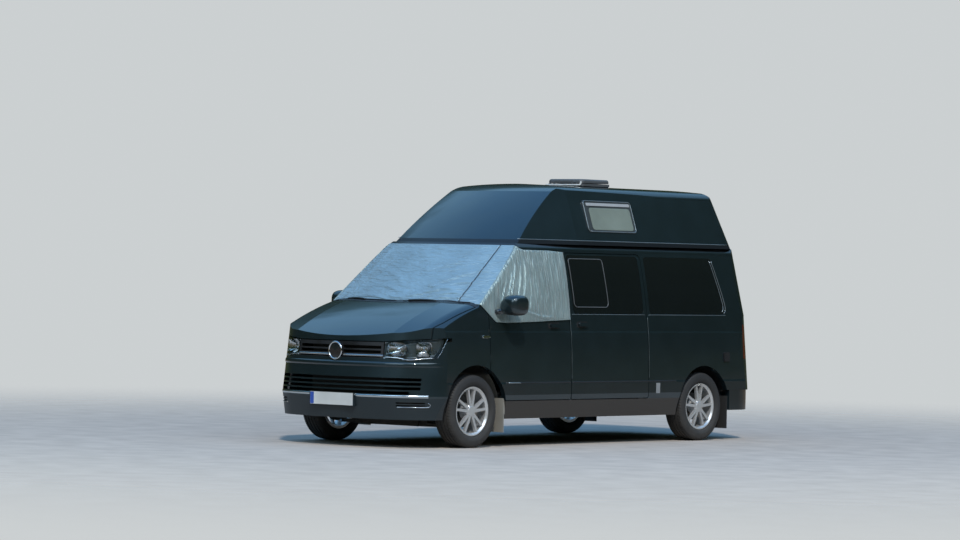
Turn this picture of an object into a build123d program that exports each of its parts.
from build123d import *
import math
import os

os.makedirs("parts", exist_ok=True)

# A long-wheelbase camper van with a moulded high roof. Millimetres, +Z up. The origin is on the
# ground under the middle of the van. The front faces -Y, and the van's left side is +X.

# Overall
length = 5304
wheelbase = 3400
front_overhang = 908
track = 1628
half_width = 952
front_axle_y = front_overhang - length / 2
rear_axle_y = front_axle_y + wheelbase

# Heights of the body's lines
sill_bottom_z = 258
sill_top_z = 425
rub_line_z = 575
swage_z = 1060
belt_z = 1210
window_top_z = 1790
gutter_z = 1866
floor_z = 500
floor_thick = 30

# Half widths of the body at those lines
sill_bottom_x = 905
swage_x = 922
belt_x = 908
gutter_x = 790

# Wall and gap sizes
wall = 50
post_depth = 96
door_gap = 8
panel_gap = 0.3
glass_thick = 8
seat_gap = 0.3

# Wheels
tyre_radius = 332
tyre_width = 215
rim_radius = 234
barrel_inner_radius = 205
hub_face_x = 806
front_arch_radius = 425
rear_arch_radius = 402
arch_centre_z = 325
housing_clearance = 10
housing_thick = 8
housing_inner_x = 480

# Steering
kingpin_x = 665
knuckle_radius = 25
knuckle_bottom_z = 205
knuckle_top_z = 480

# Doors along the left side, by their shut lines
door_front_y = -1552
door_split_y = -390
slide_rear_y = 777
hinge_gap_mid = door_gap / 2
door_hinge_lean = 3.0
front_door_bevel = 9.0

# Nose
nose_front_y = -length / 2
bumper_line_z = 470
bonnet_lip_z = 955
bumper_top_z = 775
nose_lean = 0.14
nose_flat_x = 600
nose_bow = 90
nose_corner = (857, -2380)
nose_side_y = -2080
nose_thick = 45

# Windscreen
screen_base_z = 1300
scuttle_z = 1246
screen_base_y = -1850
screen_corner_y = -1672
screen_corner_x = 870
screen_slope = 38.7

# Rear
rear_face_y = 2600
rear_bow = 180
rear_corner_radius = 230
tailgate_bottom_z = 508
tailgate_top_z = 1800

# High roof
roof_top_z = 2440
roof_base_z = gutter_z
roof_base_x = 806
roof_shoulder_x = 628
roof_shoulder_z = 2376
roof_thick = 24
roof_front_y = -1086
roof_swing_y = 1500
roof_taper = 0.07
roof_rear_y = 2455

far = 3200


def grown(rows, amount):
    """Rows of (across, up, corner radius) whose outline is moved outwards by an amount."""
    count = len(rows)
    area = sum(rows[i - 1][0] * rows[i][1] - rows[i][0] * rows[i - 1][1] for i in range(count))
    side = amount if area > 0 else -amount
    moved = []
    for i, (x, y, radius) in enumerate(rows):
        before = rows[i - 1]
        after = rows[(i + 1) % count]
        run_in = math.atan2(y - before[1], x - before[0])
        run_out = math.atan2(after[1] - y, after[0] - x)
        turn = math.remainder(run_out - run_in, 2 * math.pi)
        middle = run_in + turn / 2
        reach = side / math.cos(turn / 2)
        outward = 1 if turn * area > 0 else -1
        new_radius = max(radius + outward * amount, 0) if radius else 0
        moved.append((x + reach * math.sin(middle), y - reach * math.cos(middle), new_radius))
    return moved


def prism(plane, rows, depth, grow=0):
    """A straight prism from rows of (across, up, corner radius), drawn on a plane.

    grow moves the whole outline outwards, or inwards where it is negative.
    """
    rows = grown(rows, grow)
    with BuildPart() as solid:
        with BuildSketch(plane):
            with BuildLine():
                points = [(row[0], row[1]) for row in rows]
                radii = [row[2] for row in rows]
                FilletPolyline(*points, radius=radii, close=True)
            make_face()
        extrude(amount=depth)
    return solid.part


def side_cut(rows, grow=0):
    """A cutter through the left side, from rows of (y, z, corner radius)."""
    return prism(Plane.YZ.offset(500), rows, 700, grow)


def front_cut(rows, y_low, y_high, grow=0):
    """A cutter along Y, from rows of (x, z, corner radius), between two stations."""
    return prism(Plane.XZ.offset(-y_high), rows, y_high - y_low, grow)


def both(rows):
    """Rows of a right half's outline, from the middle out, closed by their mirror image."""
    return rows + [(-row[0], row[1], row[2]) for row in reversed(rows)]


def block(x, y, z):
    """A box from its low and high ends along each axis, each given as a pair."""
    with BuildPart() as solid:
        with BuildSketch(Plane.XY.offset(z[0])):
            with Locations(((x[0] + x[1]) / 2, (y[0] + y[1]) / 2)):
                Rectangle(x[1] - x[0], y[1] - y[0])
        extrude(amount=z[1] - z[0])
    return solid.part


def rod(plane, centre, radius, depth):
    """A cylinder that rises from a circle on a plane."""
    with BuildPart() as solid:
        with BuildSketch(plane):
            with Locations(centre):
                Circle(radius)
        extrude(amount=depth)
    return solid.part


def sorted_pair(a, b):
    """Two ends along an axis, the lower one first."""
    return (min(a, b), max(a, b))


def minus(body, *cutters):
    """A body with cutters taken out of it."""
    with BuildPart() as solid:
        add(body)
        for cutter in cutters:
            add(cutter, mode=Mode.SUBTRACT)
    return solid.part


def common(body, *limits):
    """What a body shares with each of its limits in turn."""
    with BuildPart() as solid:
        add(body)
        for limit in limits:
            add(limit, mode=Mode.INTERSECT)
    return solid.part


def joined(*bodies):
    """Several solids as one."""
    with BuildPart() as solid:
        for body in bodies:
            add(body)
    return solid.part


def turned(body):
    """The same form on the van's right side."""
    with BuildPart() as solid:
        mirror(body, about=Plane.YZ)
    return solid.part


def body_section(inset):
    """The van's cross section, sill to gutter, drawn wall by wall at an inset from the skin."""
    with BuildPart() as solid:
        with BuildSketch(Plane.XZ.offset(-far)):
            with BuildLine():
                low_z = sill_bottom_z - inset
                top_z = gutter_z - 0.6 * inset
                Line((0, low_z), (sill_bottom_x - inset, low_z))
                Line((sill_bottom_x - inset, low_z), (half_width - 6 - inset, sill_top_z))
                Line((half_width - 6 - inset, sill_top_z), (half_width - inset, rub_line_z - 100))
                Line((half_width - inset, rub_line_z - 100), (half_width - inset, rub_line_z))
                Line((half_width - inset, rub_line_z), (half_width - 6 - inset, rub_line_z + 18))
                ThreePointArc(
                    (half_width - 6 - inset, rub_line_z + 18),
                    (half_width - 11 - inset, 820),
                    (swage_x + 5 - inset, swage_z - 14),
                )
                Line((swage_x + 5 - inset, swage_z - 14), (swage_x - inset, swage_z))
                Line((swage_x - inset, swage_z), (belt_x - inset, belt_z))
                ThreePointArc(
                    (belt_x - inset, belt_z),
                    (863 - inset, 1510),
                    (gutter_x + 5 - inset, window_top_z + 10),
                )
                ThreePointArc(
                    (gutter_x + 5 - inset, window_top_z + 10),
                    (gutter_x - 9 - inset, window_top_z + 50 - 0.4 * inset),
                    (gutter_x - 40 - inset, top_z),
                )
                Line((gutter_x - 40 - inset, top_z), (0, top_z))
                mirror(about=Plane.YZ)
            make_face()
        extrude(amount=2 * far)
    return solid.part


def rear_half(z_low, z_high, side_x, centre_y, corner_y, lean, inset):
    """Half of the rear in plan: a bowed rear face, a round corner, leaning with height."""
    with BuildPart() as solid:
        with BuildSketch(Plane.XY.offset(z_low)):
            with BuildLine():
                Line((-300, -far), (-300, centre_y - inset))
                Line((-300, centre_y - inset), (0, centre_y - inset))
                arc = TangentArc((0, centre_y - inset), (side_x - inset, corner_y - inset), tangent=(1, 0))
                side = Line(arc @ 1, (side_x - inset, -far))
                Line(side @ 1, (-300, -far))
            make_face()
            corner = vertices().sort_by_distance((side_x - inset, corner_y - inset, z_low))[0]
            fillet(corner, radius=rear_corner_radius - inset)
        height = z_high - z_low
        slant = math.sqrt(lean[0] ** 2 + lean[1] ** 2 + 1)
        extrude(amount=height * slant, dir=(-lean[0], -lean[1], 1))
        add(block((0, far), (-2 * far, 2 * far), (z_low, z_high)), mode=Mode.INTERSECT)
    return solid.part


# The rear of the body in two tiers: (low z, high z, side x, rear y, corner y, leans)
lower_lean = (0.055, 0.05)
upper_lean = (0.195, 0.09)
lower_tier = (sill_bottom_z - 100, belt_z, half_width + 26, rear_face_y + 32, rear_face_y + 32 - rear_bow)
tier_rise = belt_z - lower_tier[0]


def rear_volume(inset):
    """All that lies ahead of the rear skin, at an inset from it."""
    low, high, side_x, centre_y, corner_y = lower_tier
    upper_x = side_x - lower_lean[0] * tier_rise
    upper_y = centre_y - lower_lean[1] * tier_rise
    upper_corner_y = corner_y - lower_lean[1] * tier_rise
    with BuildPart() as solid:
        add(rear_half(low, high, side_x, centre_y, corner_y, lower_lean, inset))
        add(rear_half(high, gutter_z + 40, upper_x, upper_y, upper_corner_y, upper_lean, inset))
        mirror(about=Plane.YZ)
    return solid.part


def screen_volume(inset):
    """All that lies behind the windscreen's face, which is bowed in plan and slopes back."""
    run = 1 / math.tan(math.radians(screen_slope))
    start_z = scuttle_z - 6
    shift = (start_z - screen_base_z) * run
    push = inset / math.sin(math.radians(screen_slope))
    with BuildPart() as solid:
        with BuildSketch(Plane.XY.offset(start_z)):
            with BuildLine():
                arc = ThreePointArc(
                    (-screen_corner_x - 130, screen_corner_y + 60 + shift + push),
                    (0, screen_base_y + shift + push),
                    (screen_corner_x + 130, screen_corner_y + 60 + shift + push),
                )
                Line(arc @ 1, (screen_corner_x + 130, 2 * far))
                Line((screen_corner_x + 130, 2 * far), (-screen_corner_x - 130, 2 * far))
                Line((-screen_corner_x - 130, 2 * far), arc @ 0)
            make_face()
        rise = 700
        extrude(amount=rise * math.sqrt(1 + run**2), dir=(0, run, 1))
        add(block((-far, far), (front_axle_y - 20, far), (0, start_z)))
    return solid.part


def cabin_volume(inset):
    """The cabin and load space as one solid, at an inset from the outer skin."""
    with BuildPart() as solid:
        add(body_section(inset))
        add(rear_volume(inset), mode=Mode.INTERSECT)
        add(screen_volume(inset), mode=Mode.INTERSECT)
        add(block((-far, far), (-2100, far), (0, far)), mode=Mode.INTERSECT)
    return solid.part


def nose_plan(inset, z_start, lean, height):
    """The nose in plan, bowed at the front and rounded to the sides, leaning with height."""
    with BuildPart() as solid:
        with BuildSketch(Plane.XY.offset(z_start)):
            with BuildLine():
                ThreePointArc(
                    (-nose_flat_x, nose_front_y + nose_bow + inset),
                    (0, nose_front_y + inset),
                    (nose_flat_x, nose_front_y + nose_bow + inset),
                )
                corner = ThreePointArc(
                    (nose_flat_x, nose_front_y + nose_bow + inset),
                    (nose_corner[0] - inset * 0.7, nose_corner[1] + inset * 0.7),
                    (half_width + 4 - inset, nose_side_y),
                )
                Line(corner @ 1, (half_width + 4 - inset, -1200))
                Line((half_width + 4 - inset, -1200), (0, -1200))
                mirror(about=Plane.YZ)
            make_face()
        slant = math.sqrt(lean**2 + 1)
        extrude(amount=abs(height) * slant, dir=(0, lean, 1 if height > 0 else -1))
    return solid.part


# The bonnet's ridge is an arc of a large circle in side view, through these (y, z) points
ridge = ((-1780, 1338), (-2200, 1190), (-2598, 986))


def circle_through(a, b, c):
    """Centre and radius of the circle through three points of a plane."""
    d = 2 * (a[0] * (b[1] - c[1]) + b[0] * (c[1] - a[1]) + c[0] * (a[1] - b[1]))
    sa, sb, sc = (p[0] ** 2 + p[1] ** 2 for p in (a, b, c))
    y = (sa * (b[1] - c[1]) + sb * (c[1] - a[1]) + sc * (a[1] - b[1])) / d
    z = (sa * (c[0] - b[0]) + sb * (a[0] - c[0]) + sc * (b[0] - a[0])) / d
    return y, z, math.hypot(a[0] - y, a[1] - z)


ridge_y, ridge_z, ridge_radius = circle_through(*ridge)


def bonnet_volume(inset):
    """All that lies under the bonnet: its creased, crowned section turned about a far, low axis."""
    crease_x = 580
    shoulder_x = 812
    top = ridge_z + ridge_radius - inset
    depth = 1400
    with BuildPart() as solid:
        with BuildSketch(Plane.XZ.offset(-ridge_y)):
            with BuildLine():
                roof = ThreePointArc((-crease_x, top - 14), (0, top), (crease_x, top - 14))
                flank = Line(roof @ 1, (shoulder_x, top - 45))
                far_flank = Line(roof @ 0, (-shoulder_x, top - 45))
                left = ThreePointArc(flank @ 1, (900, top - 86), (965, top - 210))
                right = ThreePointArc(far_flank @ 1, (-900, top - 86), (-965, top - 210))
                Line(left @ 1, (965, top - depth))
                Line((965, top - depth), (-965, top - depth))
                Line((-965, top - depth), right @ 1)
            make_face()
        revolve(axis=Axis((0, ridge_y, ridge_z), (1, 0, 0)), revolution_arc=60)
    return solid.part


def nose_volume(inset):
    """The nose ahead of the doors as one solid, at an inset from the outer skin."""
    upper = nose_plan(inset, bumper_line_z, nose_lean, 900)
    lower = nose_plan(inset, bumper_line_z, 0.18, sill_bottom_z - bumper_line_z)
    return common(joined(upper, lower), body_section(inset), bonnet_volume(inset))


def roof_volume(inset):
    """The moulded high roof as one solid, at an inset from its outer skin."""
    swing_y = roof_swing_y
    with BuildPart() as section:
        with BuildSketch(Plane.XZ.offset(-far)):
            with BuildLine():
                Line((0, roof_base_z), (roof_base_x - inset, roof_base_z))
                Line((roof_base_x - inset, roof_base_z), (roof_shoulder_x + 22 - inset, roof_shoulder_z - 41))
                ThreePointArc(
                    (roof_shoulder_x + 22 - inset, roof_shoulder_z - 41),
                    (roof_shoulder_x - 4 - inset, roof_shoulder_z + 7 - inset),
                    (roof_shoulder_x - 68 - inset, roof_shoulder_z + 34 - inset),
                )
                ThreePointArc(
                    (roof_shoulder_x - 68 - inset, roof_shoulder_z + 34 - inset),
                    (290, roof_top_z - 10 - inset),
                    (0, roof_top_z - inset),
                )
                mirror(about=Plane.YZ)
            make_face()
        extrude(amount=2 * far)
    with BuildPart() as front:
        with BuildSketch(Plane.YZ):
            with BuildLine():
                brow = ThreePointArc(
                    (roof_front_y + inset, roof_base_z),
                    (-763 + 0.75 * inset, 2140 - 0.65 * inset),
                    (-446 + 0.5 * inset, 2362 - 0.86 * inset),
                )
                crest = ThreePointArc(
                    brow @ 1,
                    (-296 + 0.3 * inset, 2414 - 0.96 * inset),
                    (-120, roof_top_z - inset),
                )
                Line(crest @ 1, (swing_y, roof_top_z - inset))
                Line((swing_y, roof_top_z - inset), (swing_y, roof_base_z))
                Line((swing_y, roof_base_z), brow @ 0)
            make_face()
        revolve(axis=Axis((0, swing_y, 0), (0, 0, 1)), revolution_arc=60)
        add(block((-1, far), (swing_y - 600, 2 * far), (roof_base_z - 30, roof_top_z + 30)))
        mirror(about=Plane.YZ)
    tail_rows = [
        (-2 * far, roof_base_z, 0),
        (roof_rear_y + 5 - inset, roof_base_z, 0),
        (roof_rear_y - 85 - inset, 2195, 180),
        (roof_rear_y - 470 - inset, roof_top_z - inset, 300),
        (-2 * far, roof_top_z - inset, 0),
    ]
    tail = prism(Plane.YZ.offset(-far), tail_rows, 2 * far)
    with BuildPart() as corners:
        add(
            rear_half(
                roof_base_z,
                roof_top_z,
                roof_base_x + 14,
                roof_rear_y,
                roof_rear_y - 170,
                (0.325, 0.27),
                inset,
            )
        )
        mirror(about=Plane.YZ)
    with BuildPart() as taper:
        taper_y = -150
        taper_points = [
            (0, 2 * far),
            (roof_base_x + 40, 2 * far),
            (roof_base_x - inset, taper_y),
            (roof_base_x - inset - roof_taper * far, taper_y - far),
            (0, taper_y - far),
        ]
        with BuildSketch(Plane.XY.offset(roof_base_z)):
            Polygon(*taper_points, align=None)
        lean = (roof_base_x - roof_shoulder_x) / (roof_shoulder_z - roof_base_z)
        extrude(amount=800 * math.sqrt(1 + lean**2), dir=(-lean, 0, 1))
        mirror(about=Plane.YZ)
    return common(section.part, front.part, tail, corners.part, taper.part)


def finish(builder, name):
    """Labels a finished piece and writes it."""
    builder.part.label = name
    export_step(builder.part, f"parts/{name}.step")
    boxed = builder.part.bounding_box()
    print(name, len(builder.part.solids()), builder.part.is_valid, round(boxed.min.Y), round(boxed.max.Y))


# The skins that the panels are cut from
cabin_outer = cabin_volume(0)
cabin_outer_grown = cabin_volume(-seat_gap)
cabin_inner = cabin_volume(wall)
cabin_hollow = cabin_volume(wall + seat_gap)
cabin_post_face = cabin_volume(wall + 6)
cabin_skin = minus(cabin_outer, cabin_inner)
cabin_deep = minus(cabin_outer, cabin_volume(post_depth))
glass_layer = minus(cabin_volume(2), cabin_volume(2 + glass_thick))
nose_outer = nose_volume(0)
nose_skin = minus(nose_outer, nose_volume(nose_thick))
arch_cut_front = rod(Plane.YZ.offset(-far), (front_axle_y, arch_centre_z), front_arch_radius, 2 * far)
arch_cut_rear = rod(Plane.YZ.offset(-far), (rear_axle_y, arch_centre_z), rear_arch_radius, 2 * far)

# Outlines, as rows of (y, z, corner radius) on the sides and (x, z, corner radius) at the ends
front_door_rows = [
    (door_split_y - hinge_gap_mid, sill_top_z + 4, 15),
    (door_split_y - hinge_gap_mid, window_top_z - 6, 70),
    (-1002, window_top_z - 6, 60),
    (door_front_y + hinge_gap_mid, 1225, 40),
    (door_front_y + hinge_gap_mid, 690, 0),
    (-1380, sill_top_z + 4, 0),
]
front_window_rows = [
    (-452, 1228, 40),
    (-452, 1742, 50),
    (-985, 1742, 60),
    (-1462, 1228, 30),
]
slide_door_rows = [
    (door_split_y + hinge_gap_mid, sill_top_z + 4, 15),
    (door_split_y + hinge_gap_mid, window_top_z - 6, 50),
    (slide_rear_y - 4, window_top_z - 6, 50),
    (slide_rear_y - 4, sill_top_z + 4, 15),
]
slide_window_rows = [
    (-330, belt_z + 12, 45),
    (-352, window_top_z - 22, 45),
    (732, window_top_z - 22, 45),
    (732, belt_z + 12, 45),
]
quarter_window_rows = [
    (822, belt_z + 12, 45),
    (822, window_top_z - 22, 45),
    (1900, window_top_z - 22, 60),
    (2052, belt_z + 12, 70),
]
tailgate_rows = both(
    [
        (742, tailgate_bottom_z, 40),
        (772, 800, 60),
        (748, belt_z, 200),
        (648, tailgate_top_z, 70),
    ]
)
tailgate_window_rows = both([(672, belt_z + 12, 60), (585, window_top_z - 40, 60)])
tail_lamp_rows = [(790, 792, 14), (980, 792, 0), (980, 1125, 0), (786, 1125, 14)]
screen_rows = both([(800, 1330, 60), (682, 1832, 60)])

rear_y = (2150, 2800)
tail_lamp_y = 2295
rear_plate_y = 2610
tailgate_cut = front_cut(tailgate_rows, *rear_y, grow=door_gap)
lamp_cut = front_cut(tail_lamp_rows, tail_lamp_y, far)
lamp_cut_right = turned(lamp_cut)
roof_split_z = 1838


def door_recess(rows, gap):
    """The space that a leaf fills in the side, down to the face that it shuts against."""
    return minus(side_cut(rows, gap), cabin_post_face)


def inside_space(rows, grow):
    """The space inside the panels, behind an outline on the side."""
    return common(side_cut(rows, grow), cabin_hollow)


def bowed_prism(shift):
    """All that lies ahead of the windscreen's bowed foot, moved forward by a shift."""
    with BuildPart() as solid:
        with BuildSketch(Plane.XY.offset(600)):
            with BuildLine():
                bow = ThreePointArc(
                    (-screen_corner_x - 130, screen_corner_y + 60 - shift),
                    (0, screen_base_y - shift),
                    (screen_corner_x + 130, screen_corner_y + 60 - shift),
                )
                Polyline(bow @ 1, (screen_corner_x + 130, -far), (-screen_corner_x - 130, -far), bow @ 0)
            make_face()
        extrude(amount=1200)
    return solid.part


# The bonnet's hinge line, and its two arms as (low x, high x), which reach into the pillars' feet.
# Each arm is bent: it drops from the pin, runs forward and rises to the skin, so that it clears the
# wiper as the bonnet opens. Its legs are (low y, high y, low z, high z) from the hinge line.
bonnet_hinge_y = -1716
bonnet_hinge_z = 1290
bonnet_arms = ((-780, -740), (740, 780))
arm_room = 6
pocket_rise = (1180, bonnet_hinge_z + 14)
bonnet_pin_radius = 6.5
arm_legs = ((-10, 6.5, -64, 6), (-114, 6.5, -64, -40), (-114, -80, -64, -28))
bonnet_shift = 64


def arm_pocket(arm):
    """The space that a bonnet arm needs in the pieces around it."""
    low_x, high_x = arm
    return block((low_x - arm_room, high_x + arm_room), (-2000, bonnet_hinge_y + 13), pocket_rise)


ahead_of_scuttle = bowed_prism(bonnet_shift - door_gap)


def side_wall(leaf_gap):
    """The left side's frame: sill, hinge pillar, screen pillar, middle posts, cant rail and quarter."""
    hinge_pillar_y = door_front_y - 40
    region = joined(
        block((600, far), (-far, far), (scuttle_z, roof_split_z)),
        block((600, far), (hinge_pillar_y, far), (sill_top_z - 4, scuttle_z)),
        block((840, far), (hinge_pillar_y, far), (sill_bottom_z - 10, sill_top_z - 4)),
    )
    quarter_rows = [
        (slide_rear_y + 60, sill_top_z + 60, 0),
        (slide_rear_y + 60, window_top_z, 0),
        (far, window_top_z, 0),
        (far, sill_top_z + 60, 0),
    ]
    ahead_of_door = block((0, far), (-far, door_front_y + 30), (0, scuttle_z))
    return minus(
        common(cabin_deep, region),
        tailgate_cut,
        minus(ahead_of_door, cabin_post_face),
        door_recess(front_door_rows, door_gap),
        door_recess(slide_door_rows, leaf_gap),
        inside_space(front_door_rows, -35),
        inside_space(slide_door_rows, -35),
        inside_space(quarter_rows, 0),
        side_cut(quarter_window_rows),
        front_cut(screen_rows, -far, 0),
        ahead_of_scuttle,
        arm_pocket(bonnet_arms[1]),
        lamp_cut,
        arch_cut_front,
        arch_cut_rear,
        block((0, far), (rear_axle_y + 300, far), (0, 489)),
    )


with BuildPart() as side_wall_left:
    add(side_wall(door_gap))
finish(side_wall_left, "side_wall_left")

with BuildPart() as side_wall_right:
    add(turned(side_wall(panel_gap)))
finish(side_wall_right, "side_wall_right")

# The steel roof's rim, which carries the moulded roof
roof_cutout = block((-610, 610), (-870, 2230), (1700, far))
roof_rim_region = joined(
    block((-far, far), (-far, far), (roof_split_z, far)),
    block((-600 + panel_gap, 600 - panel_gap), (-far, far), (1700, far)),
)
# Hinge barrels of the tailgate, along the shut line of its top edge, from (low x, high x)
tail_hinge_y = 2530
tail_hinge_z = tailgate_top_z + hinge_gap_mid
tail_barrel_radius = 5
tail_barrels = ((-214, -180), (180, 214))
tail_frame_barrels = ((-179.5, -146), (214.5, 248))
with BuildPart() as roof_frame:
    add(common(cabin_skin, roof_rim_region))
    add(roof_cutout, mode=Mode.SUBTRACT)
    add(front_cut(screen_rows, -far, 0), mode=Mode.SUBTRACT)
    add(tailgate_cut, mode=Mode.SUBTRACT)
    for low_x, high_x in tail_frame_barrels:
        add(block((low_x, high_x), (2490, tail_hinge_y + 1), (tail_hinge_z + 1, tail_hinge_z + 22)))
        add(rod(Plane.YZ.offset(low_x), (tail_hinge_y, tail_hinge_z), tail_barrel_radius, high_x - low_x))
finish(roof_frame, "roof_frame")

# The moulded high roof, open underneath, with an inner flange that sits on the rim
roof_outer = roof_volume(0)
roof_window_rows = [(48, 1992, 34), (48, 2292, 34), (778, 2292, 34), (778, 1992, 34)]
rooflight_half_x = 200
rooflight_front_y = 620
rooflight_rear_y = 1036
rooflight_z = roof_top_z
rooflight_hole = block(
    (-rooflight_half_x, rooflight_half_x),
    (rooflight_front_y, rooflight_rear_y),
    (2000, far),
)
flange_rows = [(-610, -870, 60), (610, -870, 60), (610, 2230, 60), (-610, 2230, 60)]
roof_windows_cut = joined(side_cut(roof_window_rows), turned(side_cut(roof_window_rows)))
below_flange = block((-far, far), (-far, far), (0, roof_base_z + 18))
with BuildPart() as high_roof:
    add(roof_outer)
    add(minus(roof_volume(roof_thick), below_flange), mode=Mode.SUBTRACT)
    add(prism(Plane.XY.offset(roof_base_z - 40), flange_rows, 100), mode=Mode.SUBTRACT)
    add(roof_windows_cut, mode=Mode.SUBTRACT)
    add(rooflight_hole, mode=Mode.SUBTRACT)
finish(high_roof, "high_roof")

# Its two side windows, each a frame and a pane in one unit that stands a little proud
with BuildPart() as roof_side_windows:
    add(
        common(
            minus(roof_volume(-7), roof_volume(roof_thick - 2)),
            side_cut(roof_window_rows, -panel_gap),
        )
    )
    mirror(about=Plane.YZ)
finish(roof_side_windows, "roof_side_windows")

# The rooflight: a frame let into the roof, and a lid hinged along its front edge between two pairs of ears
lid_low_z = roof_top_z + 24 + 6
lid_hinge_z = lid_low_z + 6
lid_hinge_y = rooflight_front_y - 24
lid_ears = ((-172, -158.3), (-121.7, -108), (108, 121.7), (158.3, 172))
lid_arms = ((-158, -122), (122, 158))
frame_inner_x = rooflight_half_x - 30
frame_rows = [
    (rooflight_front_y - 18, roof_top_z + seat_gap, 0),
    (rooflight_rear_y + 18, roof_top_z + seat_gap, 0),
    (rooflight_rear_y + 18, roof_top_z + 24, 0),
    (rooflight_front_y - 18, roof_top_z + 24, 0),
]
with BuildPart() as rooflight_frame:
    add(prism(Plane.YZ.offset(-rooflight_half_x - 18), frame_rows, 2 * rooflight_half_x + 36))
    fillet(edges().filter_by(Axis.Z), radius=40)
    add(
        block(
            (-rooflight_half_x + panel_gap, rooflight_half_x - panel_gap),
            (rooflight_front_y + panel_gap, rooflight_rear_y - panel_gap),
            (roof_top_z - 44, roof_top_z + 10),
        )
    )
    add(
        block(
            (-frame_inner_x, frame_inner_x),
            (rooflight_front_y + 30, rooflight_rear_y - 30),
            (2000, far),
        ),
        mode=Mode.SUBTRACT,
    )
    for ear in lid_ears:
        add(block(ear, (lid_hinge_y - 10, lid_hinge_y + 16), (roof_top_z + seat_gap, roof_top_z + 12)))
        add(block(ear, (lid_hinge_y - 10, lid_hinge_y + 3), (roof_top_z + seat_gap, lid_hinge_z + 1)))
finish(rooflight_frame, "rooflight_frame")

with BuildPart() as rooflight_lid:
    with BuildSketch(Plane.XY.offset(lid_low_z)):
        with Locations((0, (rooflight_front_y + rooflight_rear_y) / 2)):
            RectangleRounded(2 * rooflight_half_x + 30, rooflight_rear_y - rooflight_front_y + 30, 48)
    extrude(amount=38)
    fillet(faces().sort_by(Axis.Z)[-1].edges(), radius=24)
    for low_x, high_x in lid_arms:
        add(block((low_x, high_x), (lid_hinge_y, rooflight_front_y + 10), (lid_hinge_z - 4, lid_hinge_z + 4)))
        add(rod(Plane.YZ.offset(low_x), (lid_hinge_y, lid_hinge_z), 5, high_x - low_x))
finish(rooflight_lid, "rooflight_lid")

# The sliding door on the left, and the fixed panel with the same outline on the right
side_leaf = minus(
    common(cabin_skin, side_cut(slide_door_rows)),
    side_cut(slide_window_rows),
)
slide_handle_rows = [(-270, 1104, 10), (-270, 1140, 16), (-150, 1140, 16), (-150, 1104, 10)]


def handle(rows):
    """A pull handle that stands 26 mm proud of the side, seated on the skin."""
    return common(side_cut(rows), minus(cabin_volume(-26), cabin_volume(12)))


with BuildPart() as sliding_door:
    add(side_leaf)
    add(handle(slide_handle_rows))
    for y in (-300, 640):
        add(block((902, 936), (y, y + 70), (sill_top_z - 4 + seat_gap, sill_top_z + 20)))
finish(sliding_door, "sliding_door")

with BuildPart() as side_panel_right:
    add(turned(side_leaf))
finish(side_panel_right, "side_panel_right")

# Front doors, whose rear edges are bevelled inwards so that they swing clear
hinge_axis_x = 961
hinge_axis_z = 430
hinge_lean = math.tan(math.radians(door_hinge_lean))
hinge_y = door_front_y
knuckle_heights = (810, 1080)
knuckle_length = 34
knuckle_thick = 3.5


def hinge_x(z):
    """Where the leaning hinge line of the front door stands at a height."""
    return hinge_axis_x - (z - hinge_axis_z) * hinge_lean


def knuckle(z):
    """A short length of hinge tube that lies along the leaning hinge line."""
    plane = Plane(origin=(hinge_x(z), hinge_y, z), z_dir=(-hinge_lean, 0, 1))
    return rod(plane, (0, 0), knuckle_thick, knuckle_length)


front_handle_rows = [(-690, 1094, 10), (-690, 1130, 16), (-565, 1130, 16), (-565, 1094, 10)]
bevel = math.radians(front_door_bevel)
side_lean = (half_width - gutter_x) / (window_top_z - rub_line_z)
rear_edge_plane = Plane(
    origin=(half_width, door_split_y - hinge_gap_mid, rub_line_z),
    z_dir=Vector(-side_lean, 0, 1).cross(Vector(-math.cos(bevel), -math.sin(bevel), 0)),
)
with BuildPart() as front_door_left:
    add(minus(common(cabin_skin, side_cut(front_door_rows)), side_cut(front_window_rows), arch_cut_front))
    split(bisect_by=rear_edge_plane, keep=Keep.TOP)
    add(handle(front_handle_rows))
    for z in knuckle_heights:
        add(knuckle(z + seat_gap))
        add(block((hinge_x(z) - 46, hinge_x(z)), (hinge_y - 3, hinge_y + 30), (z + 4, z + 30)))
finish(front_door_left, "front_door_left")

with BuildPart() as front_door_right:
    add(turned(front_door_left.part))
finish(front_door_right, "front_door_right")

# Panes, flush with the skin, each in the opening that was cut for it
front_pane = common(glass_layer, side_cut(front_window_rows, -panel_gap))
slide_pane = common(glass_layer, side_cut(slide_window_rows, -panel_gap))
quarter_pane = common(glass_layer, side_cut(quarter_window_rows, -panel_gap))
with BuildPart() as front_door_glass_left:
    add(front_pane)
finish(front_door_glass_left, "front_door_glass_left")

with BuildPart() as front_door_glass_right:
    add(turned(front_pane))
finish(front_door_glass_right, "front_door_glass_right")

with BuildPart() as side_glass:
    add(slide_pane)
    add(quarter_pane)
    mirror(about=Plane.YZ)
finish(side_glass, "side_glass")

with BuildPart() as windscreen:
    add(common(glass_layer, front_cut(screen_rows, -far, 0, grow=-panel_gap)))
finish(windscreen, "windscreen")

# The tailgate, hinged along its top edge, with a flat seat for the number plate
rear_plate_seat = block((-285, 285), (2540, rear_plate_y - seat_gap), (655, 792))
with BuildPart() as tailgate:
    add(
        minus(
            common(cabin_skin, front_cut(tailgate_rows, *rear_y)),
            front_cut(tailgate_window_rows, *rear_y),
        )
    )
    add(minus(rear_plate_seat, cabin_inner))
    for low_x, high_x in tail_barrels:
        add(block((low_x, high_x), (2490, tail_hinge_y + 1), (tail_hinge_z - 24, tail_hinge_z - 1)))
        add(rod(Plane.YZ.offset(low_x), (tail_hinge_y, tail_hinge_z), tail_barrel_radius, high_x - low_x))
finish(tailgate, "tailgate")

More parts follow.
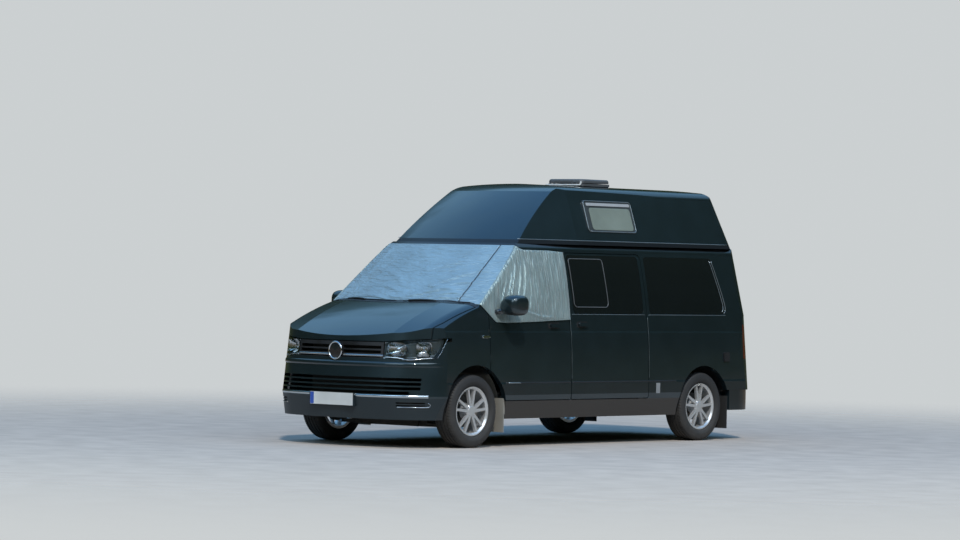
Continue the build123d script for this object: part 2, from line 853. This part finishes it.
with BuildPart() as tailgate_glass:
    add(common(glass_layer, front_cut(tailgate_window_rows, *rear_y, grow=-panel_gap)))
finish(tailgate_glass, "tailgate_glass")

with BuildPart() as tail_lamps:
    add(common(cabin_skin, front_cut(tail_lamp_rows, tail_lamp_y + panel_gap, far, grow=-panel_gap)))
    mirror(about=Plane.YZ)
finish(tail_lamps, "tail_lamps")

# Nose outlines, seen from the front, as rows of (x, z, corner radius)
lamp_rows = [
    (520, 802, 0),
    (514, 949, 8),
    (860, 979, 60),
    (938, 996, 8),
    (922, 870, 60),
    (905, 802, 14),
    (740, 778, 14),
    (646, 797, 14),
]
bonnet_front_rows = both([(514, bonnet_lip_z, 0), (860, 985, 0), (960, 1006, 0), (960, 1450, 0)])
bonnet_plan_rows = both([(864, -far, 0), (864, -2300, 60), (880, -2150, 60), (888, -1600, 0)])
grille_low_z = 802
grille_rows = both([(513, grille_low_z + panel_gap, 0), (507, 947, 0)])
grille_slots = ((808, 818), (846, 872), (886, 914))
grille_slot_x = 487
bumper_slots = ((486, 512), (526, 552), (566, 592), (606, 632))
bumper_slot_x = 840
bumper_low_slot_x = 770
bumper_side_slots = ((378, 392), (402, 416))
bumper_side_span = (664, 866)
front_plate_z = 372
plate_width = 520
plate_height = 111
plate_thick = 6
emblem_z = 862
emblem_radius = 84
emblem_rear_y = 2576
emblem_depth = 36
bumper_rear_y = -2030
bumper_cheek_y = -2135
lamp_rear_y = -2078


def slot_cut(low_x, high_x, low_z, high_z, radius):
    """A slot through the nose, with rounded corners."""
    corners = ((low_x, low_z), (high_x, low_z), (high_x, high_z), (low_x, high_z))
    return front_cut([(x, z, radius) for x, z in corners], -far, -2000)


bonnet_space = common(
    prism(Plane.XZ.offset(0), bonnet_front_rows, far),
    prism(Plane.XY.offset(600), bonnet_plan_rows, 1200),
)
bonnet_grown = common(
    prism(Plane.XZ.offset(0), bonnet_front_rows, far, grow=door_gap),
    prism(Plane.XY.offset(600), bonnet_plan_rows, 1200, grow=door_gap),
)
bonnet_grown_space = common(bonnet_grown, ahead_of_scuttle)
ahead_of_screen = bowed_prism(bonnet_shift)
with BuildPart() as bonnet:
    add(common(nose_skin, bonnet_space, ahead_of_screen))
    for arm in bonnet_arms:
        for low_y, high_y, low_z, high_z in arm_legs:
            leg_y = (bonnet_hinge_y + low_y, bonnet_hinge_y + high_y)
            add(block(arm, leg_y, (bonnet_hinge_z + low_z, bonnet_hinge_z + high_z)))
        pin_x = arm[0] - arm_room + seat_gap
        pin_length = arm[1] + arm_room - seat_gap - pin_x
        add(rod(Plane.YZ.offset(pin_x), (bonnet_hinge_y, bonnet_hinge_z), bonnet_pin_radius, pin_length))
finish(bonnet, "bonnet")

lamp_space = prism(Plane.XZ.offset(-lamp_rear_y), lamp_rows, 900)
lamp_space = joined(lamp_space, turned(lamp_space))
grille_space = prism(Plane.XZ.offset(1900), grille_rows, 900)
bumper_rows = [
    (-far, 200, 0),
    (-far, grille_low_z, 0),
    (bumper_cheek_y, grille_low_z, 0),
    (bumper_cheek_y, bumper_top_z, 0),
    (bumper_rear_y, bumper_top_z, 0),
    (bumper_rear_y, 200, 0),
]
bumper_space = prism(Plane.YZ.offset(-far), bumper_rows, 2 * far)
with BuildPart() as headlamps:
    add(common(nose_skin, prism(Plane.XZ.offset(-lamp_rear_y + panel_gap), lamp_rows, 900, grow=-panel_gap)))
    mirror(about=Plane.YZ)
finish(headlamps, "headlamps")

# The grille: a dark surround, three bars across and the blank disc in the middle
with BuildPart() as front_grille:
    add(common(nose_skin, prism(Plane.XZ.offset(1900), grille_rows, 900, grow=-panel_gap)))
    for low, high in grille_slots:
        add(slot_cut(-grille_slot_x, grille_slot_x, low, high, 4), mode=Mode.SUBTRACT)
    add(rod(Plane.XZ.offset(emblem_rear_y), (0, emblem_z), emblem_radius, emblem_depth))
finish(front_grille, "front_grille")

# The bumper, slotted across the middle, with two short slots low at each corner
with BuildPart() as front_bumper:
    add(common(nose_skin, bumper_space))
    add(lamp_space, mode=Mode.SUBTRACT)
    for low, high in bumper_slots:
        span = bumper_low_slot_x if low == bumper_slots[0][0] else bumper_slot_x
        add(slot_cut(-span, span, low, high, 6), mode=Mode.SUBTRACT)
    for low, high in bumper_side_slots:
        for sign in (-1, 1):
            low_x, high_x = sorted_pair(sign * bumper_side_span[0], sign * bumper_side_span[1])
            add(slot_cut(low_x, high_x, low, high, 5), mode=Mode.SUBTRACT)
    add(arch_cut_front, mode=Mode.SUBTRACT)
    add(rod(Plane.XZ.offset(2400), (0, emblem_z), emblem_radius + panel_gap, 400), mode=Mode.SUBTRACT)
    add(minus(block((-268, 268), (nose_front_y, -2560), (front_plate_z - 6, 489)), nose_volume(nose_thick)))
    add(block((-262, 262), (-far, nose_front_y + plate_thick), (front_plate_z - 2, 485)), mode=Mode.SUBTRACT)
finish(front_bumper, "front_bumper")

above_scuttle = minus(
    common(cabin_outer, block((-far, far), (-far, far), (scuttle_z - panel_gap, far))),
    ahead_of_scuttle,
)

# Front wings, from the bumper and lamps back to the doors
wing_rear_y = door_front_y - hinge_gap_mid
with BuildPart() as front_wings:
    add(common(nose_skin, block((800, far), (-far, wing_rear_y), (sill_bottom_z - 20, far))))
    add(bonnet_grown, mode=Mode.SUBTRACT)
    add(prism(Plane.YZ.offset(-far), grown(bumper_rows, panel_gap), 2 * far), mode=Mode.SUBTRACT)
    add(lamp_space, mode=Mode.SUBTRACT)
    add(arch_cut_front, mode=Mode.SUBTRACT)
    add(above_scuttle, mode=Mode.SUBTRACT)
    for z in knuckle_heights:
        leaf = block((hinge_x(z) - 40, hinge_x(z)), (hinge_y - 30, hinge_y + 2), (z - 30, z - 4))
        add(joined(knuckle(z - knuckle_length), leaf))
    mirror(about=Plane.YZ)
finish(front_wings, "front_wings")

# The scuttle between bonnet and windscreen, and the bulkhead behind the engine
scuttle_rows = grown(bonnet_plan_rows, door_gap - panel_gap)
scuttle_space = common(
    prism(Plane.XY.offset(600), scuttle_rows, 1200),
    block((-far, far), (-1950, wing_rear_y), (1100, far)),
)
scuttle_panel = minus(common(nose_skin, scuttle_space), bonnet_grown_space, above_scuttle)
with BuildPart() as scuttle:
    add(scuttle_panel.solids().sort_by(SortBy.VOLUME)[-1])
    for arm in bonnet_arms:
        add(arm_pocket(arm), mode=Mode.SUBTRACT)
finish(scuttle, "scuttle")

# Floor, the four wheel housings let into it, and the bulkhead that stands on its front edge
bulkhead_y = front_axle_y + 128
rail_low_z = 350
rail_span = (-2470, 2400)
housing_front_radius = front_arch_radius + housing_clearance
housing_rear_radius = rear_arch_radius + housing_clearance
housing_outer_x = half_width - wall - 12
housing_sill_x = half_width - 14 - post_depth
housing_low_z = 430


def drum(axle_y, radius, inner_x):
    """A round space about a left wheel's axle, from an inner station outwards."""
    return rod(Plane.YZ.offset(inner_x), (axle_y, arch_centre_z), radius, 2000)


def housing(axle_y, radius):
    """A half drum over a left wheel, closed on its inner side."""
    limit = block((0, housing_outer_x), (-far, far), (housing_low_z, far))
    return common(drum(axle_y, radius + housing_thick, housing_inner_x - housing_thick), limit)


front_housing = minus(
    common(housing(front_axle_y, housing_front_radius), nose_volume(nose_thick + 1)),
    block((housing_sill_x, far), (door_front_y - 42, far), (0, far)),
)
rear_housing = minus(
    housing(rear_axle_y, housing_rear_radius),
    block((housing_sill_x, far), (0, far), (0, 487)),
)


def around_housing(axle_y, radius):
    """The space that the pieces beside a left wheel housing leave free for it."""
    return drum(axle_y, radius + housing_thick + seat_gap, housing_inner_x - housing_thick - seat_gap)


with BuildPart() as wheel_housings:
    add(minus(front_housing, drum(front_axle_y, housing_front_radius, housing_inner_x)))
    add(minus(rear_housing, drum(rear_axle_y, housing_rear_radius, housing_inner_x)))
    mirror(about=Plane.YZ)
finish(wheel_housings, "wheel_housings")

around_front = around_housing(front_axle_y, housing_front_radius)
around_rear = around_housing(rear_axle_y, housing_rear_radius)
with BuildPart() as bulkhead:
    panel = block((-far, far), (bulkhead_y, bulkhead_y + 14), (floor_z + seat_gap, scuttle_z - 30))
    add(minus(common(panel, cabin_volume(post_depth + 2)), around_front, turned(around_front)))
finish(bulkhead, "bulkhead")

floor_plate = block((-900, 900), (bulkhead_y, 2620), (floor_z - floor_thick, floor_z))
with BuildPart() as floor_pan:
    add(common(floor_plate, cabin_volume(post_depth + seat_gap)))
    for space in (around_front, around_rear):
        add(space, mode=Mode.SUBTRACT)
        add(turned(space), mode=Mode.SUBTRACT)
    for sign in (-1, 1):
        add(block(sorted_pair(sign * 360, sign * 430), rail_span, (rail_low_z, floor_z - floor_thick)))
finish(floor_pan, "floor_pan")


# Rear bumper, wrapped round the corners to the rear arches
bumper_rise = (292, 488.7)
bumper_side_y = rear_axle_y + rear_arch_radius + 6


def rear_bumper_volume(inset):
    """The rear bumper's outer form as one solid."""
    with BuildPart() as solid:
        with BuildSketch(Plane.XY.offset(bumper_rise[0])):
            with BuildLine():
                face_y = length / 2 - inset
                bow = ThreePointArc((-720, face_y - 96), (0, face_y), (720, face_y - 96))
                turn = ThreePointArc(bow @ 1, (895 - 0.8 * inset, 2405 - 0.5 * inset), (948 - inset, 2190))
                Line(turn @ 1, (948 - inset, 1500))
                back = ThreePointArc(bow @ 0, (-895 + 0.8 * inset, 2405 - 0.5 * inset), (-948 + inset, 2190))
                Line(back @ 1, (-948 + inset, 1500))
                Line((-948 + inset, 1500), (948 - inset, 1500))
            make_face()
        extrude(amount=bumper_rise[1] - bumper_rise[0])
    return solid.part


rear_bumper_solid = rear_bumper_volume(0)
with BuildPart() as rear_bumper:
    add(rear_bumper_solid)
    add(rear_bumper_volume(nose_thick), mode=Mode.SUBTRACT)
    add(block((-far, far), (0, bumper_side_y), (0, far)), mode=Mode.SUBTRACT)
finish(rear_bumper, "rear_bumper")

# Blank number plates
with BuildPart() as front_plate:
    add(
        block(
            (-plate_width / 2, plate_width / 2),
            (nose_front_y, nose_front_y + plate_thick - seat_gap),
            (front_plate_z, front_plate_z + plate_height),
        )
    )
finish(front_plate, "front_plate")

with BuildPart() as rear_plate:
    add(
        block(
            (-plate_width / 2, plate_width / 2),
            (rear_plate_y, rear_plate_y + plate_thick),
            (668, 668 + plate_height),
        )
    )
finish(rear_plate, "rear_plate")

# Door mirrors: a rounded shell on an arm from the front corner of each door window
mirror_rows = [(948, 1206, 60), (1144, 1220, 64), (1149, 1386, 68), (972, 1394, 66)]
mirror_span = (-1468, -1232)
mirror_arm = ((880, 1000), (-1524, -1400), (1202, 1262))
with BuildPart() as door_mirror_left:
    add(front_cut(mirror_rows, *mirror_span))
    fillet(faces().sort_by(Axis.Y)[0].edges(), radius=54)
    fillet(faces().sort_by(Axis.Y)[-1].edges(), radius=14)
    add(minus(block(*mirror_arm), cabin_outer_grown))
finish(door_mirror_left, "door_mirror_left")

with BuildPart() as door_mirror_right:
    add(turned(door_mirror_left.part))
finish(door_mirror_right, "door_mirror_right")

# Wheels. Each is a pressed barrel with five pairs of spokes, inside a plain tyre
tyre_centre_x = track / 2
tyre_inner_x = tyre_centre_x - tyre_width / 2
spoke_face_x = tyre_centre_x + 84
flange_x = tyre_centre_x + 88
bead_radius = 203
spoke_pairs = 5
spoke_spread = 13
hub_radius = 62


def turned_profile(points, axis_y):
    """A ring about a wheel's axle from (x, distance from the axle) points."""
    with BuildPart() as solid:
        with BuildSketch(Plane.XZ.offset(-axis_y)):
            with BuildLine():
                Polyline(*[(x, tyre_radius + r) for x, r in points], close=True)
            make_face()
        revolve(axis=Axis((0, axis_y, tyre_radius), (1, 0, 0)))
    return solid.part


def tyre(axis_y):
    """The tyre, with round shoulders and a flat tread."""
    half = tyre_width / 2
    points = [
        (tyre_centre_x - half + 14, rim_radius - 8),
        (tyre_centre_x - half, rim_radius + 36),
        (tyre_centre_x - half + 8, tyre_radius - 22),
        (tyre_centre_x - half + 28, tyre_radius - 3),
        (tyre_centre_x - 40, tyre_radius),
        (tyre_centre_x + 40, tyre_radius),
        (tyre_centre_x + half - 28, tyre_radius - 3),
        (tyre_centre_x + half - 8, tyre_radius - 22),
        (tyre_centre_x + half, rim_radius + 36),
        (tyre_centre_x + half - 14, rim_radius - 8),
        (tyre_centre_x + half - 26, rim_radius - 10),
        (tyre_centre_x + half - 30, bead_radius + 8),
        (tyre_centre_x - half + 30, bead_radius + 8),
        (tyre_centre_x - half + 26, rim_radius - 10),
    ]
    return turned_profile(points, axis_y)


def spoke_rows(axis_y, angle):
    """One spoke from the hub out to the barrel, as rows of (y, z, corner radius) at an angle."""
    reach_y = math.cos(math.radians(angle))
    reach_z = math.sin(math.radians(angle))
    rows = []
    for r, half in ((30, 15), (30, -15), (barrel_inner_radius - 3, -11), (barrel_inner_radius - 3, 11)):
        rows.append((axis_y + r * reach_y - half * reach_z, tyre_radius + r * reach_z + half * reach_y, 0))
    return rows


def rim(axis_y):
    """The rim's barrel, its five pairs of spokes and its hub."""
    outer = tyre_width / 2 - 30
    barrel = [
        (tyre_centre_x - outer - 7, barrel_inner_radius - 6),
        (tyre_centre_x - outer - 7, rim_radius - 10.3),
        (tyre_centre_x - outer - 4.3, rim_radius - 10.3),
        (tyre_centre_x - outer - 0.3, bead_radius + 7.7),
        (tyre_centre_x + outer + 0.3, bead_radius + 7.7),
        (tyre_centre_x + outer + 4.3, rim_radius - 10.3),
        (tyre_centre_x + outer + 8, rim_radius - 10.3),
        (tyre_centre_x + outer + 8, rim_radius - 20),
        (tyre_centre_x + outer - 6, barrel_inner_radius - 6),
    ]
    hub = [
        (hub_face_x + seat_gap, 0),
        (hub_face_x + seat_gap, hub_radius + 14),
        (spoke_face_x - 22, hub_radius),
        (spoke_face_x - 6, hub_radius - 18),
        (spoke_face_x - 6, 0),
    ]
    solids = [turned_profile(barrel, axis_y), turned_profile(hub, axis_y)]
    for pair in range(spoke_pairs):
        for lean in (-spoke_spread, spoke_spread):
            angle = 90 + pair * 360 / spoke_pairs + lean
            solids.append(prism(Plane.YZ.offset(spoke_face_x - 34), spoke_rows(axis_y, angle), 26))
    return joined(*solids)


# Each corner: name, axle, side of the van
corners = (
    ("front_left", front_axle_y, 1),
    ("front_right", front_axle_y, -1),
    ("rear_left", rear_axle_y, 1),
    ("rear_right", rear_axle_y, -1),
)
for corner_name, axis_y, side in corners:
    tyre_solid = tyre(axis_y) if side > 0 else turned(tyre(axis_y))
    rim_solid = rim(axis_y) if side > 0 else turned(rim(axis_y))
    with BuildPart() as tyre_piece:
        add(tyre_solid)
    finish(tyre_piece, "tyre_" + corner_name)
    with BuildPart() as rim_piece:
        add(rim_solid)
    finish(rim_piece, "rim_" + corner_name)

# Steering knuckles, each with its stub axle, hub flange and brake disc
with BuildPart() as knuckle_left:
    height = knuckle_top_z - knuckle_bottom_z
    add(rod(Plane.XY.offset(knuckle_bottom_z), (kingpin_x, front_axle_y), knuckle_radius, height))
    add(rod(Plane.YZ.offset(kingpin_x), (front_axle_y, tyre_radius), 22, hub_face_x - kingpin_x))
    add(rod(Plane.YZ.offset(hub_face_x - 14), (front_axle_y, tyre_radius), hub_radius, 14))
    add(rod(Plane.YZ.offset(hub_face_x - 52), (front_axle_y, tyre_radius), 148, 24))
finish(knuckle_left, "knuckle_left")

with BuildPart() as knuckle_right:
    add(turned(knuckle_left.part))
finish(knuckle_right, "knuckle_right")

# Front axle: a subframe, lower arms out to the knuckles, and the struts above them
arm_rows = [
    (340, front_axle_y - 90, 10),
    (kingpin_x - 20, front_axle_y - 30, 10),
    (kingpin_x + 22, front_axle_y - 20, 10),
    (kingpin_x + 22, front_axle_y + 20, 10),
    (kingpin_x - 20, front_axle_y + 30, 10),
    (340, front_axle_y + 150, 10),
]
with BuildPart() as front_axle:
    arm = prism(Plane.XY.offset(knuckle_bottom_z - 30), arm_rows, 30 - seat_gap)
    strut_z = knuckle_top_z + seat_gap
    strut = rod(Plane.XY.offset(strut_z), (kingpin_x, front_axle_y), 24, 1000)
    strut = common(strut, block((0, far), (-far, far), (0, arch_centre_z + housing_front_radius - 1)))
    add(arm)
    add(turned(arm))
    add(block((-345, 345), (front_axle_y - 110, front_axle_y + 170), (knuckle_bottom_z - 30, 265)))
    for sign in (-1, 1):
        add(block(sorted_pair(sign * 361, sign * 429), (front_axle_y - 80, front_axle_y + 140), (200, 349.7)))
        add(block(sorted_pair(sign * 300, sign * 400), (front_axle_y - 80, front_axle_y + 140), (200, 250)))
    add(strut)
    add(turned(strut))
finish(front_axle, "front_axle")

# Rear axle: a cross tube, trailing arms, stub axles and brake drums
with BuildPart() as rear_axle:
    add(rod(Plane.YZ.offset(-600), (rear_axle_y - 300, 300), 38, 1200))
    for sign in (-1, 1):
        add(block(sorted_pair(sign * 560, sign * 640), (rear_axle_y - 330, rear_axle_y + 50), (262, 338)))
        low_x = min(sign * 600, sign * hub_face_x)
        add(rod(Plane.YZ.offset(low_x), (rear_axle_y, tyre_radius), 26, hub_face_x - 600))
        low_x = min(sign * (hub_face_x - 52), sign * (hub_face_x - 12))
        add(rod(Plane.YZ.offset(low_x), (rear_axle_y, tyre_radius), 130, 40))
        add(block(sorted_pair(sign * 361, sign * 429), (rear_axle_y - 360, rear_axle_y - 240), (262, 349.7)))
finish(rear_axle, "rear_axle")

# Under the bonnet and the floor
with BuildPart() as radiator:
    add(block((-425, 425), (-2450, -2405), (floor_z - floor_thick + seat_gap, 930)))
finish(radiator, "radiator")

with BuildPart() as engine_block:
    add(block((-352, 352), (-2330, -1760), (265.3, 930)))
finish(engine_block, "engine_block")

with BuildPart() as exhaust:
    with BuildLine():
        pipe_path = FilletPolyline(
            (120, -1500, 330),
            (120, -700, 330),
            (-250, -300, 330),
            (-250, 1000, 330),
            (-250, 1500, 400),
            (-250, 1800, 400),
            (-312, 2100, 330),
            (-312, 2560, 330),
            radius=90,
        )
    with BuildSketch(Plane(origin=(120, -1500, 330), z_dir=(0, 1, 0))):
        Circle(28)
    sweep(path=pipe_path)
    add(rod(Plane.XZ.offset(-900), (-250, 380), 89.7, 650))
finish(exhaust, "exhaust")

with BuildPart() as fuel_tank:
    with BuildSketch(Plane.XY.offset(300)):
        with Locations((600, -500)):
            RectangleRounded(300, 760, 50)
    extrude(amount=floor_z - floor_thick - 300 - seat_gap)
finish(fuel_tank, "fuel_tank")

# Inside: dashboard, steering wheel, front seats and the camper's furniture
dash_rows = [(-1590, 780, 0), (-1590, 1190, 0), (-1380, 1160, 40), (-1210, 1060, 40), (-1270, 780, 30)]
dash_half = 820
with BuildPart() as dashboard:
    dash_bar = prism(Plane.YZ.offset(-dash_half), dash_rows, 2 * dash_half)
    add(common(dash_bar, cabin_volume(post_depth + seat_gap)))
finish(dashboard, "dashboard")

wheel_x = -400
column_dir = Vector(0, -0.92, -0.39)
wheel_centre = Vector(wheel_x, -1070, 1130)
wheel_ring_radius = 188
with BuildPart() as steering_wheel:
    with Locations(Plane(origin=wheel_centre, x_dir=(1, 0, 0), z_dir=column_dir)):
        Torus(major_radius=wheel_ring_radius, minor_radius=14)
        Box(2 * wheel_ring_radius, 34, 16)
        Cylinder(radius=64, height=30)
        Cylinder(radius=32, height=220, align=(Align.CENTER, Align.CENTER, Align.MIN))
        with Locations((0, -wheel_ring_radius / 2, 0)):
            Box(34, wheel_ring_radius, 16)
    add(dashboard.part, mode=Mode.SUBTRACT)
finish(steering_wheel, "steering_wheel")

seat_width = 520
back_rows = [(-700, 900, 30), (-590, 860, 30), (-500, 1540, 50), (-600, 1560, 50)]
with BuildPart() as front_seats:
    for x in (-400, 400):
        add(block((x - 200, x + 200), (-1080, -660), (floor_z + seat_gap, 790)))
        add(block((x - seat_width / 2, x + seat_width / 2), (-1140, -610), (780, 895)))
        add(prism(Plane.YZ.offset(x - seat_width / 2), back_rows, seat_width))
finish(front_seats, "front_seats")

camper_furniture_gap = post_depth + 4
with BuildPart() as camper_furniture:
    add(block((-250, 780), (1230, 1700), (floor_z + seat_gap, 880)))
    add(block((-250, 780), (1600, 1760), (880, 1420)))
    add(
        drum(rear_axle_y, housing_rear_radius + housing_thick + 2, housing_inner_x - housing_thick - 2),
        mode=Mode.SUBTRACT,
    )
    side_unit = block((-840, -470), (-150, 1180), (floor_z + seat_gap, 1180))
    add(common(side_unit, cabin_volume(camper_furniture_gap)))
finish(camper_furniture, "camper_furniture")

# Mains inlet on the left rear quarter: a square body let into the side, with its lid turned up
inlet_y = 2012
inlet_z = 812
with BuildPart() as mains_inlet:
    add(common(side_cut([(inlet_y - 45, inlet_z - 45, 12), (inlet_y + 45, inlet_z - 45, 12),
                         (inlet_y + 45, inlet_z + 45, 12), (inlet_y - 45, inlet_z + 45, 12)]),
               minus(cabin_volume(-12), cabin_volume(-seat_gap))))
finish(mains_inlet, "mains_inlet")

# Mud flaps: the front ones seated against the arch's rear edge, the rear ones against the bumper
flap_x = (705, 925)
front_flap_y = front_axle_y + 407
rear_flap_y = bumper_side_y - seat_gap
with BuildPart() as mudflaps:
    arch_fill = rod(Plane.YZ, (front_axle_y, arch_centre_z), front_arch_radius - seat_gap, far)
    add(common(arch_fill, block(flap_x, (front_flap_y, front_flap_y + 60), (300, 470))))
    add(block(flap_x, (front_flap_y, front_flap_y + 8), (135, 301)))
    add(block(flap_x, (rear_flap_y - 10, rear_flap_y), (112, 430)))
    mirror(about=Plane.YZ)
finish(mudflaps, "mudflaps")

# The insulating cover over the windscreen, and its two flaps over the front door windows
cover_thick = 12
cover_layer = minus(cabin_volume(-cover_thick), cabin_outer_grown)
cover_centre_rows = both([(862, 1286, 30), (738, 1846, 40)])
cover_flap_rows = [(-1448, 1140, 20), (-404, 1166, 30), (-404, 1780, 70), (-1000, 1780, 40)]
cover_front = block((-far, far), (-1950, -1000), (1200, far))
mirror_stem = block(
    (860, 1000),
    (mirror_arm[1][0] - 6, mirror_arm[1][1] + 6),
    (mirror_arm[2][0] - 6, mirror_arm[2][1] + 6),
)
with BuildPart() as cover_centre:
    cover_cut = front_cut(cover_centre_rows, -far, -900)
    add(minus(common(cover_layer, cover_front, cover_cut), nose_volume(-seat_gap)))
finish(cover_centre, "cover_centre")

with BuildPart() as cover_flap_left:
    add(minus(common(cover_layer, side_cut(cover_flap_rows)), mirror_stem))
finish(cover_flap_left, "cover_flap_left")

with BuildPart() as cover_flap_right:
    add(turned(cover_flap_left.part))
finish(cover_flap_right, "cover_flap_right")

# Two wipers at rest on the foot of the cover, one after the other across the van
wiper_spans = ((-660, 50), (130, 850))
blade_layer = minus(cabin_volume(-cover_thick - 20), cabin_volume(-cover_thick - seat_gap))
wiper_region = block((-far, far), (-far, -1500), (1200, far))
wiper_strip = minus(common(blade_layer, nose_volume(-18), wiper_region), nose_volume(-2))
with BuildPart() as wipers:
    for low_x, high_x in wiper_spans:
        add(common(wiper_strip, block((low_x, high_x), (-far, -1500), (1200, far))))
finish(wipers, "wipers")
